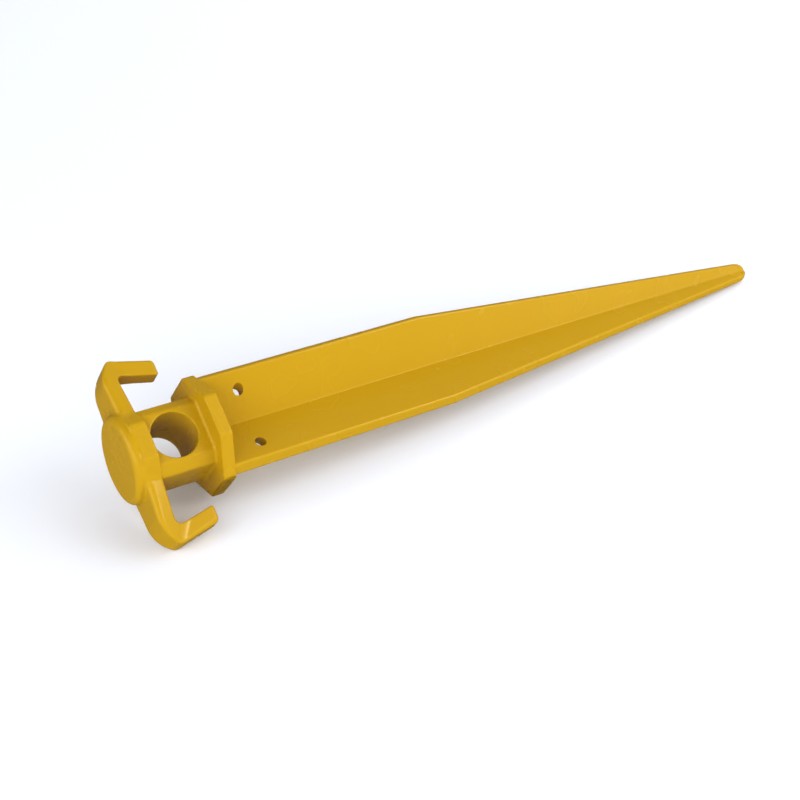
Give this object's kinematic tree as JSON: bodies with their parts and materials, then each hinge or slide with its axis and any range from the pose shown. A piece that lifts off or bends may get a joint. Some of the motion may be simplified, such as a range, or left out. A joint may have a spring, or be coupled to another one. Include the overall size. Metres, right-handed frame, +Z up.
{
  "type": "moulded plastic ground peg",
  "caption": "Yellow plastic ground peg with a round striking head, hooks to either side, a cross bore, a ground collar and a tapered Y-section blade.",
  "frame": {"origin": "centre of the bounding box's underside, on the surface that the peg lies on", "axes": "+X runs level from the striking head towards the point, +Z is up from the surface, +Y is the side of the left, raised hook. The peg's own axis dips 4 degrees towards the point and the peg is rolled 34.7 degrees about it, which is how it rests on its right hook arm, the collar's edge and its point."},
  "size_m": [0.3018, 0.0628, 0.0475],
  "materials": {
    "moulded_plastic": "satin as moulded, golden yellow, coloured right through"
  },
  "bodies": {
    "root": {"striking_disc": "moulded_plastic", "hook_plate": "moulded_plastic", "hook_arm_left": "moulded_plastic", "hook_finger_left": "moulded_plastic", "hook_arm_right": "moulded_plastic", "hook_finger_right": "moulded_plastic", "neck": "moulded_plastic", "collar": "moulded_plastic", "blade_rib_left": "moulded_plastic", "blade_rib_right": "moulded_plastic", "blade_keel": "moulded_plastic"}
  },
  "joints": []
}
